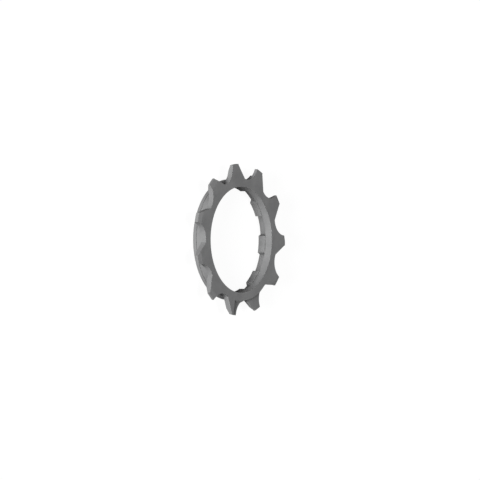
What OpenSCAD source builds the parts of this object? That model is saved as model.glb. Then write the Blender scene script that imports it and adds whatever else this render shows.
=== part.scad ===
// Smallest sprocket of a bicycle cassette, with the spacer that keeps it off the next one.
// It lies on the spacer's back face, with its toothed face up and its axis on Z.

/* [Chain] */
// Pitch of the chain, half an inch
chain_pitch = 12.7; // [12.5:0.05:12.9]
// Number of teeth
teeth = 11; // [11:1:13]
// How far the roots of the teeth lie inside the pitch circle
root_drop = 3.9; // [3.8:0.05:4]

/* [Teeth] */
// How far the tips of the teeth stand out of the pitch circle
tip_rise = 0.68; // [0.5:0.02:0.8]
// Radius of a roller's seat between two teeth
seat_r = 5.15; // [4.8:0.05:5.3]
// Sideways shift of the seat towards the steep flank
seat_shift = 0.25; // [0.1:0.05:0.4]
// Lean of the steep flank, from the middle line of the gap
steep_lean = 19.5; // [16:0.5:22]
// Lean of the sloping flank, from the middle line of the gap
flank_lean = 46.5; // [42:0.5:50]
// Height above the root at which the sloping flank's line meets the middle line of the gap
flank_foot = -0.64; // [-0.9:0.02:-0.4]

/* [Body] */
// Distance to the next sprocket, from the front face to the spacer's back face
stack_h = 5; // [4.8:0.05:5.2]
// Thickness of the toothed disc at the feet of the teeth
disc_t = 1.68; // [1.6:0.02:1.9]
// Depth, from the front face, of the shoulder that carries the gap floors on behind the disc
shoulder_depth = 3.1; // [2.7:0.05:3.2]
// How far that shoulder lies inside the roots of the teeth
shoulder_drop = 0.06; // [0.02:0.02:0.1]
// Wall of the spacer, outside the notches of the bore
spacer_wall = 1.14; // [1.0:0.02:1.2]
// Height of the line turned round the spacer, above its back face
line_z = 1.15; // [0.8:0.05:1.4]
// Width of that line
line_w = 0.14; // [0.1:0.02:0.3]
// Depth of that line
line_h = 0.14; // [0.1:0.02:0.2]

/* [Bevels] */
// How far outside the roots the bevels on the teeth start
bevel_rise = 2.9; // [2.4:0.1:3]
// Slope of the bevels on the fronts of the teeth
front_slope = 10; // [8:1:12]
// Slope of the bevels on the backs of the teeth
back_slope = 23.5; // [18:0.5:24]

/* [Shifting cuts] */
// Depth of the recess in the front of two teeth
recess_depth = 0.65; // [0.6:0.05:0.9]
// How far outside the roots the recess starts
recess_rise = 0.04; // [0:0.02:0.3]
// Where the recess starts on its first tooth, in degrees from the tooth's middle line
recess_start = -2.4; // [-4:0.1:2]
// Thickness of the tooth that is cut away at the back
thin_t = 0.95; // [0.6:0.05:1.1]
// How far outside the roots that tooth is cut
thin_rise = 2.2; // [1.5:0.1:2.4]

/* [Bore] */
// Radius of the plain bore and of the lug tips
bore_r = 16.21; // [16.1:0.01:16.3]
// Length of the plain bore, from the front face
bore_len = 2.4; // [2.1:0.02:2.6]
// Width of the relief groove between the plain bore and the lugs
relief_w = 0.12; // [0.1:0.02:0.2]
// Depth of the relief groove
relief_h = 0.2; // [0.1:0.05:0.4]
// Height of the lugs, from their tips to the bottom of the notches between them
lug_h = 1.1; // [0.9:0.02:1.2]
// Number of lugs
lugs = 9; // [9]
// Width of an ordinary lug at its tip, in degrees
lug_angle = 17.8; // [16:0.1:19]
// Lean of a lug's sides from the radial line
lug_lean = 20; // [15:1:28]
// How much wider than the others the keyed lug is, in degrees
key_extra = 8; // [6:0.5:9]
// Angle of the first lug, from the first tooth
lug_phase = -4.9; // [-8:0.1:0]
// Place of the keyed lug, counted from the first
key_lug = 7; // [0:1:8]

/* [Hidden] */
$fn = 180;
eps = 0.02;
tooth_step = 360 / teeth;
lug_step = 360 / lugs;
pitch_r = chain_pitch / (2 * sin(180 / teeth));
root_r = pitch_r - root_drop;
tip_r = pitch_r + tip_rise;
disc_z = stack_h - disc_t;
shoulder_r = root_r - shoulder_drop;
notch_r = bore_r + lug_h;
spacer_r = notch_r + spacer_wall;
// Bevelled fronts: tooth, how much further out and how much steeper than usual, turn
front_bevels = [[0, 1.3, 6, 30], [1, 0.9, -2, 12], [4, 0, 0, 4], [5, 0, 0, 0],
                [6, 0, 0, 0], [7, 0, 0, 0], [10, 0.7, 4, -26]];
// The tooth whose back is nearly flat, and by how much its bevel is less steep
flat_back = [5, 16];
recess_tooth = 8;
thin_tooth = 2;
notch_h = stack_h - bore_len - relief_w;
// How far a cut runs past the surface that it opens
past = 1;
// Width of the blocks that cut the bevels, wider than a tooth
block_w = 8;

function polar(r, a) = [r * cos(a), r * sin(a)];

// Space for one chain roller between two teeth, on +X; its sloping side is the one towards +Y
module roller_gap() {
    reach = 2 * (tip_r - root_r + seat_r);
    seat = [root_r + seat_r, -seat_shift];
    steep = [cos(steep_lean), -sin(steep_lean)];
    touch = seat + seat_r * [steep[1], -steep[0]];
    foot = [root_r + flank_foot, 0];
    sloping = reach * [cos(flank_lean), sin(flank_lean)];
    across = [sloping[1], -sloping[0]];
    intersection() {
        union() {
            translate(seat) circle(r = seat_r);
            polygon([seat, touch, touch + reach * steep, seat + [reach, reach], seat + [0, reach]]);
        }
        polygon([foot - sloping, foot + sloping, foot + sloping + across, foot - sloping + across]);
    }
}

module tooth_profile() {
    difference() {
        circle(r = tip_r);
        for (i = [0 : teeth - 1]) rotate((i + 0.5) * tooth_step) roller_gap();
    }
}

// Block over the tip of tooth i, whose underside starts at a distance outside the roots and slopes
module bevel(i, out, slope, turn) {
    rotate(i * tooth_step) translate([root_r + out, 0, 0]) rotate(turn)
        rotate([0, slope, 0]) translate([0, -block_w / 2, 0]) cube(block_w);
}

// Sector of a ring outside radius r, from angle a1 to a2, with a wall that leans out going down
module ring_sector(r, a1, a2, depth) {
    far = 2 * tip_r;
    difference() {
        translate([0, 0, -depth]) linear_extrude(2 * depth)
            polygon([[0, 0], polar(far, a1), polar(far, (a1 + a2) / 2), polar(far, a2)]);
        translate([0, 0, -depth - eps]) cylinder(r1 = r + depth + eps, r2 = r, h = depth + eps);
        translate([0, 0, -eps]) cylinder(r = r, h = 2 * depth);
    }
}

module shifting_cuts() {
    first = recess_tooth * tooth_step;
    translate([0, 0, stack_h]) {
        for (b = front_bevels) bevel(b[0], bevel_rise + b[1], front_slope + b[2], b[3]);
        ring_sector(root_r + recess_rise, first + recess_start, first + tooth_step * 1.5, recess_depth);
    }
    translate([0, 0, disc_z]) mirror([0, 0, 1])
        for (i = [0 : teeth - 1])
            bevel(i, bevel_rise, back_slope - (i == flat_back[0] ? flat_back[1] : 0), 0);
    thin = thin_tooth * tooth_step;
    translate([0, 0, disc_z - past]) difference() {
        linear_extrude(disc_t - thin_t + past)
            polygon([[0, 0], polar(2 * tip_r, thin - tooth_step / 2), polar(2 * tip_r, thin + tooth_step / 2)]);
        translate([0, 0, -past]) cylinder(r = root_r + thin_rise, h = disc_t + 2 * past);
    }
}

// Spacer with the shoulder behind the disc, as one turned profile
module spacer() {
    shoulder_z = stack_h - shoulder_depth;
    line_r = spacer_r - line_h;
    rotate_extrude()
        polygon([[0, 0], [spacer_r, 0], [spacer_r, line_z], [line_r, line_z], [line_r, line_z + line_w],
                 [spacer_r, line_z + line_w], [spacer_r, shoulder_z], [shoulder_r, shoulder_z],
                 [shoulder_r, disc_z + eps], [0, disc_z + eps]]);
}

// Notch between two lugs, whose tips end at angles a1 and a2
module notch(a1, a2) {
    side1 = polar(2 * lug_h, a1 + lug_lean);
    side2 = polar(2 * lug_h, a2 - lug_lean);
    p1 = polar(bore_r, a1);
    p2 = polar(bore_r, a2);
    intersection() {
        circle(r = notch_r);
        polygon([p1 - side1, p1 + side1, p2 + side2, p2 - side2]);
    }
}

// The bore, plain in front and with lugs behind
module bore() {
    translate([0, 0, -past]) cylinder(r = bore_r, h = stack_h + 2 * past);
    translate([0, 0, notch_h]) cylinder(r = bore_r + relief_h, h = relief_w);
    translate([0, 0, -past]) linear_extrude(notch_h + past)
        for (i = [0 : lugs - 1]) {
            a1 = lug_phase + i * lug_step + lug_angle / 2 + (i == key_lug ? key_extra : 0);
            a2 = lug_phase + (i + 1) * lug_step - lug_angle / 2;
            notch(a1, a2);
        }
}

module cog() {
    color("dimgray") difference() {
        union() {
            difference() {
                translate([0, 0, disc_z]) linear_extrude(disc_t) tooth_profile();
                shifting_cuts();
            }
            spacer();
        }
        bore();
    }
}

cog();
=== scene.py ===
"""A cassette cog on a pale floor, seen from the photograph's side."""
import math

import bpy
from mathutils import Matrix, Vector


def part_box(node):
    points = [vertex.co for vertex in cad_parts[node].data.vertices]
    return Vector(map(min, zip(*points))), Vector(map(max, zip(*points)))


MM = 0.001

# Camera: the photograph looks on the front face at the angle of an isometric view, with +Y up
TO_CAMERA = Vector((-math.sqrt(2 / 3), 0, math.sqrt(1 / 3)))
IMAGE_UP = Vector((0, 1, 0))
IMAGE_RIGHT = IMAGE_UP.cross(TO_CAMERA)
PHOTO_PIXELS = 480
PIXEL = 0.3057 * MM
# Where the middle of the front face lies in the photograph, from the middle of the picture
FACE_RIGHT = 1.38 * PIXEL
FACE_UP = 0.32 * PIXEL
CAMERA_DISTANCE = 4.0
SENSOR_WIDTH = 36
# How near and how far the camera sees
NEAREST = 0.1
FURTHEST = 100

# Lamps: direction, size in metres, and strength as a sun's. A low key lamp stands on the
# camera's side, a weaker one overhead and a low one behind
LAMP_DISTANCE = 3.0
LAMPS = {
    "key": (Vector((-1, 0, 0.21)), 1.0, 4.48),
    "top": (Vector((0.02, 0, 1)), 1.2, 0.71),
    "back": (Vector((1, 0, 0.15)), 1.5, 1.3),
}
# Light from all round
WORLD_LEVEL = 0.08

FLOOR_SIZE = 8.0
# The floor lies a hair under the cog, so that their faces don't fight
FLOOR_GAP = 0.01 * MM
FLOOR_GREY = 0.15
# What the camera sees on top of the floor's own light, which makes it white but for the shadow
FLOOR_TOP_UP = 0.925

# Colours of the steel, and of the painted shade that darkens its corners
STEEL_BRIGHT = (0.254, 0.255, 0.256)
STEEL_DARK = (0.203, 0.204, 0.206)
STEEL_WORN = (0.330, 0.330, 0.328)
CORNER_SHADE_DARK = (0.030, 0.030, 0.031)

# Patterns in the steel: waves to a metre and how many finer layers they have, and for some of
# them the levels of the noise between which they fade in
NOISE_ROUGHNESS = 0.6
MOTTLE = (0.16 / MM, 5)
MOTTLE_LEVELS = (0.30, 0.70)
# Share of the mottling in the tone of the steel; the specks have the rest
MOTTLE_SHARE = 0.74
SPECKS = (3.0 / MM, 2)
SPECK_LEVELS = (0.35, 0.65)
RUBBING = (0.9 / MM, 4)
RUBBING_LEVELS = (0.38, 0.66)
GRAIN = (6.0 / MM, 3)
# The turning marks are noise over stretched coordinates: waves to a metre across and along the
# axis, and to a radian round it
MARKS = (1.0, 2)
MARK_WAVES = (4.0 / MM, 4.0 / MM, 2.5)

# Wear: how far from an edge it reaches, and how alike the rounded and the flat surface are
# where it starts and where it is full
WEAR_RADIUS = 0.18 * MM
WEAR_SAMPLES = 6
WEAR_LIKENESS = (0.985, 0.90)
# Painted corner shade: how far off a wall still makes a corner, how open a place is where the
# painted shade starts and where it is full, and how much the painted shade darkens the steel
CORNER_SHADE_REACH = 2.5 * MM
CORNER_SHADE_SAMPLES = 8
CORNER_SHADE_OPENNESS = (0.92, 0.40)
CORNER_SHADE_AMOUNT = 0.6

# Skin of the steel: matt, smoother where it is worn, with a fine relief
SPECULAR_LEVEL = 0.01
ROUGHNESS = (0.52, 0.62)
WORN_SMOOTHER = 0.14
RELIEF_STRENGTH = 0.12
RELIEF_DEPTH = 0.02 * MM

# Edges steeper than EDGE_ANGLE are rounded, and those steeper than CREASE_ANGLE show as creases
EDGE_RADIUS = 0.06 * MM
EDGE_SEGMENTS = 2
EDGE_ANGLE = math.radians(35)
CREASE_ANGLE = math.radians(6)
# Points this close are one, and faces that turn by less than this are one
WELD_GAP = 0.001 * MM
FLAT_ANGLE = math.radians(0.5)
# Two surfaces are numbered at least 1 apart, so the variance of their numbers is at least 0.25
SAME_SURFACE = 0.1

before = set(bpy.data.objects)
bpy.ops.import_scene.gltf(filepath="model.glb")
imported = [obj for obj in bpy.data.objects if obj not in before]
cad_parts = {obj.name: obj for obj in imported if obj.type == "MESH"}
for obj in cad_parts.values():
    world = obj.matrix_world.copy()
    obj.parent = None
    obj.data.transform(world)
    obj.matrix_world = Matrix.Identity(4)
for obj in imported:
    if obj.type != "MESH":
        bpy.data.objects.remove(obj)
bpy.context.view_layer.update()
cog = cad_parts["cog"]
front_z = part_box("cog")[1][2]


def node(tree, kind, **values):
    """A node with its settings and inputs set by name; an underscore stands for a space."""
    made = tree.nodes.new(kind)
    for name, value in values.items():
        if hasattr(made, name):
            setattr(made, name, value)
        else:
            made.inputs[name.replace("_", " ")].default_value = value
    return made


def math_node(tree, operation, *values):
    """The result of an operation on numbers or sockets."""
    made = node(tree, "ShaderNodeMath", operation=operation)
    for socket, value in zip(made.inputs, values):
        if isinstance(value, (int, float)):
            socket.default_value = value
        else:
            tree.links.new(value, socket)
    return made.outputs["Value"]


def noise(tree, place, pattern):
    """Noise over a place, with the pattern's waves and finer layers."""
    waves, layers = pattern
    made = node(tree, "ShaderNodeTexNoise", Scale=waves, Detail=layers, Roughness=NOISE_ROUGHNESS)
    tree.links.new(place, made.inputs["Vector"])
    return made.outputs["Fac"]


def ramp(tree, value, levels, results=(0.0, 1.0)):
    """Maps a value from one range to another, smoothly at both ends."""
    made = node(tree, "ShaderNodeMapRange", interpolation_type="SMOOTHSTEP",
                From_Min=levels[0], From_Max=levels[1], To_Min=results[0], To_Max=results[1])
    tree.links.new(value, made.inputs["Value"])
    return made.outputs["Result"]


def mixed(tree, factor, first, second):
    """One colour fading to another; each is a colour or a socket."""
    made = node(tree, "ShaderNodeMix", data_type="RGBA")
    tree.links.new(factor, made.inputs["Factor"])
    for name, colour in (("A", first), ("B", second)):
        socket = [s for s in made.inputs if s.name == name and s.type == "RGBA"][0]
        if isinstance(colour, tuple):
            socket.default_value = (*colour, 1)
        else:
            tree.links.new(colour, socket)
    return [s for s in made.outputs if s.type == "RGBA"][0]


def seen_directly(tree):
    """1 for the camera, for reflections and through glass, and 0 for light that falls on the cog."""
    path = tree.nodes.new("ShaderNodeLightPath")
    seen = math_node(tree, "MAXIMUM", path.outputs["Is Camera Ray"], path.outputs["Is Glossy Ray"])
    return math_node(tree, "MAXIMUM", seen, path.outputs["Is Transmission Ray"])


def empty_material(name):
    material = bpy.data.materials.new(name)
    material.use_nodes = True
    material.node_tree.nodes.clear()
    return material, material.node_tree


def show(tree, shader, kind="ShaderNodeOutputMaterial"):
    """Ends the tree in an output for the shader."""
    tree.links.new(shader, tree.nodes.new(kind).inputs["Surface"])


def edge_wear(tree, place):
    """1 along the edges, where the finish is rubbed, broken up by noise."""
    rounded = node(tree, "ShaderNodeBevel", samples=WEAR_SAMPLES, Radius=WEAR_RADIUS)
    flat = tree.nodes.new("ShaderNodeNewGeometry")
    likeness = node(tree, "ShaderNodeVectorMath", operation="DOT_PRODUCT")
    tree.links.new(rounded.outputs["Normal"], likeness.inputs[0])
    tree.links.new(flat.outputs["True Normal"], likeness.inputs[1])
    edge = ramp(tree, likeness.outputs["Value"], WEAR_LIKENESS)
    return math_node(tree, "MULTIPLY", edge, ramp(tree, noise(tree, place, RUBBING), RUBBING_LEVELS))


def painted_corner_shade(tree):
    """How much painted shade darkens the steel: some deep in the corners, and none on open faces."""
    openness = node(tree, "ShaderNodeAmbientOcclusion", samples=CORNER_SHADE_SAMPLES, only_local=True,
                    Distance=CORNER_SHADE_REACH)
    return math_node(tree, "MULTIPLY", ramp(tree, openness.outputs["AO"], CORNER_SHADE_OPENNESS), CORNER_SHADE_AMOUNT)


def turning_marks(tree, place):
    """Fine rings round the axis, as a lathe leaves them, broken up along their length."""
    parts = tree.nodes.new("ShaderNodeSeparateXYZ")
    tree.links.new(place, parts.inputs[0])
    x, y, z = parts.outputs
    square = math_node(tree, "ADD", math_node(tree, "MULTIPLY", x, x), math_node(tree, "MULTIPLY", y, y))
    ways = (math_node(tree, "SQRT", square), z, math_node(tree, "ARCTAN2", y, x))
    rings = tree.nodes.new("ShaderNodeCombineXYZ")
    for socket, way, waves in zip(rings.inputs, ways, MARK_WAVES):
        tree.links.new(math_node(tree, "MULTIPLY", way, waves), socket)
    return noise(tree, rings.outputs[0], MARKS)


def steel_material():
    """Plain grey steel: mottled, finely turned, with painted shade in corners and rubbed along edges."""
    material, tree = empty_material("grey_steel")
    place = tree.nodes.new("ShaderNodeTexCoord").outputs["Object"]
    mottle = ramp(tree, noise(tree, place, MOTTLE), MOTTLE_LEVELS)
    specks = ramp(tree, noise(tree, place, SPECKS), SPECK_LEVELS)
    wear = edge_wear(tree, place)

    rest = math_node(tree, "MULTIPLY", specks, 1 - MOTTLE_SHARE)
    tone = math_node(tree, "MULTIPLY_ADD", mottle, MOTTLE_SHARE, rest)
    colour = mixed(tree, tone, STEEL_DARK, STEEL_BRIGHT)
    colour = mixed(tree, wear, colour, STEEL_WORN)
    # Painted shade: the colour goes dark in enclosed corners
    colour = mixed(tree, painted_corner_shade(tree), colour, CORNER_SHADE_DARK)
    rough = ramp(tree, specks, (0.0, 1.0), ROUGHNESS)
    rough = math_node(tree, "MULTIPLY_ADD", wear, -WORN_SMOOTHER, rough)
    relief = node(tree, "ShaderNodeBump", Strength=RELIEF_STRENGTH, Distance=RELIEF_DEPTH)
    height = math_node(tree, "ADD", noise(tree, place, GRAIN), turning_marks(tree, place))
    tree.links.new(height, relief.inputs["Height"])

    surface = node(tree, "ShaderNodeBsdfPrincipled", Metallic=0.0, Specular_IOR_Level=SPECULAR_LEVEL)
    tree.links.new(colour, surface.inputs["Base Color"])
    tree.links.new(rough, surface.inputs["Roughness"])
    tree.links.new(relief.outputs["Normal"], surface.inputs["Normal"])
    show(tree, surface.outputs["BSDF"])
    return material


def stored(tree, shape, name, domain, kind, value):
    """The shape with a value kept on it under a name."""
    made = node(tree, "GeometryNodeStoreNamedAttribute", domain=domain, data_type=kind, Name=name)
    tree.links.new(shape, made.inputs["Geometry"])
    tree.links.new(value, [i for i in made.inputs if i.name == "Value" and i.enabled][0])
    return made.outputs["Geometry"]


def on_faces(tree, value):
    """A value worked out on faces, which an edge then takes as the mean of its two faces."""
    made = node(tree, "GeometryNodeFieldOnDomain", domain="FACE", data_type="FLOAT")
    tree.links.new(value, made.inputs["Value"])
    return made.outputs["Value"]


def seam_finder():
    """Joins the surfaces of the mesh, and marks the edges between two of them that meet at an angle."""
    tree = bpy.data.node_groups.new("seams", "GeometryNodeTree")
    for way in ("INPUT", "OUTPUT"):
        tree.interface.new_socket("Geometry", in_out=way, socket_type="NodeSocketGeometry")
    given = tree.nodes.new("NodeGroupInput").outputs[0]
    island = tree.nodes.new("GeometryNodeInputMeshIsland").outputs["Island Index"]
    joined = node(tree, "GeometryNodeMergeByDistance", Distance=WELD_GAP)
    tree.links.new(stored(tree, given, "surface", "FACE", "FLOAT", island), joined.inputs["Geometry"])

    surface = node(tree, "GeometryNodeInputNamedAttribute", data_type="FLOAT", Name="surface")
    number = surface.outputs["Attribute"]
    mean = on_faces(tree, number)
    mean_square = on_faces(tree, math_node(tree, "MULTIPLY", number, number))
    variance = math_node(tree, "SUBTRACT", mean_square, math_node(tree, "MULTIPLY", mean, mean))
    seam = math_node(tree, "GREATER_THAN", variance, SAME_SURFACE)
    angle = tree.nodes.new("GeometryNodeInputMeshEdgeAngle").outputs["Unsigned Angle"]
    crease, corner = (math_node(tree, "MULTIPLY", seam, math_node(tree, "GREATER_THAN", angle, least))
                      for least in (CREASE_ANGLE, EDGE_ANGLE))
    shape = stored(tree, joined.outputs["Geometry"], "sharp_edge", "EDGE", "BOOLEAN", crease)
    shape = stored(tree, shape, "bevel_weight_edge", "EDGE", "FLOAT", corner)

    # The normals that came with the mesh would hide the creases
    plain = node(tree, "GeometryNodeRemoveAttribute", Name="custom_normal")
    tree.links.new(shape, plain.inputs["Geometry"])
    smooth = tree.nodes.new("GeometryNodeSetShadeSmooth")
    tree.links.new(plain.outputs["Geometry"], smooth.inputs["Geometry"])
    tree.links.new(smooth.outputs["Geometry"], tree.nodes.new("NodeGroupOutput").inputs[0])
    return tree


def dress_cog():
    """Gives the cog its finish and takes the sharpness off its edges."""
    cog.data.materials[0] = steel_material()
    cog.modifiers.new("seams", "NODES").node_group = seam_finder()
    # The triangles of a flat face become one face, so that the rounded edges run clean
    flat = cog.modifiers.new("flat", "DECIMATE")
    flat.decimate_type = "DISSOLVE"
    flat.angle_limit = FLAT_ANGLE
    bevel = cog.modifiers.new("edges", "BEVEL")
    bevel.width = EDGE_RADIUS
    bevel.segments = EDGE_SEGMENTS
    bevel.limit_method = "WEIGHT"
    bevel.harden_normals = True
    bevel.use_clamp_overlap = True


def floor_material():
    """Grey to the light, and quite white to the camera but for the cog's shadow."""
    material, tree = empty_material("pale_floor")
    paint = node(tree, "ShaderNodeBsdfDiffuse", Color=(FLOOR_GREY, FLOOR_GREY, FLOOR_GREY, 1))
    glow = tree.nodes.new("ShaderNodeEmission")
    top_up = math_node(tree, "MULTIPLY", seen_directly(tree), FLOOR_TOP_UP)
    tree.links.new(top_up, glow.inputs["Strength"])
    both = tree.nodes.new("ShaderNodeAddShader")
    tree.links.new(paint.outputs["BSDF"], both.inputs[0])
    tree.links.new(glow.outputs["Emission"], both.inputs[1])
    show(tree, both.outputs["Shader"])
    return material


def make_floor():
    half = FLOOR_SIZE / 2
    mesh = bpy.data.meshes.new("floor")
    corners = [(-half, -half, 0), (half, -half, 0), (half, half, 0), (-half, half, 0)]
    mesh.from_pydata(corners, [], [(0, 1, 2, 3)])
    mesh.materials.append(floor_material())
    floor = bpy.data.objects.new("floor", mesh)
    floor.location.z = -FLOOR_GAP
    bpy.context.scene.collection.objects.link(floor)


def make_world():
    """Low light from all round, and white where the camera or a reflection meets it."""
    world = bpy.data.worlds.new("studio")
    world.use_nodes = True
    tree = world.node_tree
    tree.nodes.clear()
    back = node(tree, "ShaderNodeBackground", Color=(1, 1, 1, 1))
    level = math_node(tree, "MAXIMUM", seen_directly(tree), WORLD_LEVEL)
    tree.links.new(level, back.inputs["Strength"])
    show(tree, back.outputs["Background"], "ShaderNodeOutputWorld")
    bpy.context.scene.world = world


def add_lamp(name, direction, size, level):
    """A round soft lamp that lights the cog as a sun of that strength would."""
    lamp = bpy.data.lights.new(name, "AREA")
    lamp.shape = "DISK"
    lamp.size = size
    lamp.energy = level * math.pi * LAMP_DISTANCE ** 2
    holder = bpy.data.objects.new(name, lamp)
    holder.location = direction * LAMP_DISTANCE
    holder.rotation_mode = "QUATERNION"
    holder.rotation_quaternion = (-direction).to_track_quat("-Z", "Y")
    bpy.context.scene.collection.objects.link(holder)


def make_camera():
    """A camera so far off that the view has no visible perspective, like the photograph's."""
    data = bpy.data.cameras.new("camera")
    data.sensor_width = SENSOR_WIDTH
    data.lens = SENSOR_WIDTH * CAMERA_DISTANCE / (PHOTO_PIXELS * PIXEL)
    data.clip_start = NEAREST
    data.clip_end = FURTHEST
    camera = bpy.data.objects.new("camera", data)
    aim = Vector((0, 0, front_z)) - FACE_RIGHT * IMAGE_RIGHT - FACE_UP * IMAGE_UP
    turn = Matrix((IMAGE_RIGHT, IMAGE_UP, TO_CAMERA)).transposed().to_4x4()
    camera.matrix_world = Matrix.Translation(aim + CAMERA_DISTANCE * TO_CAMERA) @ turn
    bpy.context.scene.collection.objects.link(camera)
    bpy.context.scene.camera = camera


bpy.context.scene.view_settings.view_transform = "Standard"
make_camera()
make_world()
make_floor()
for name, (direction, size, level) in LAMPS.items():
    add_lamp(name, direction.normalized(), size, level)
dress_cog()
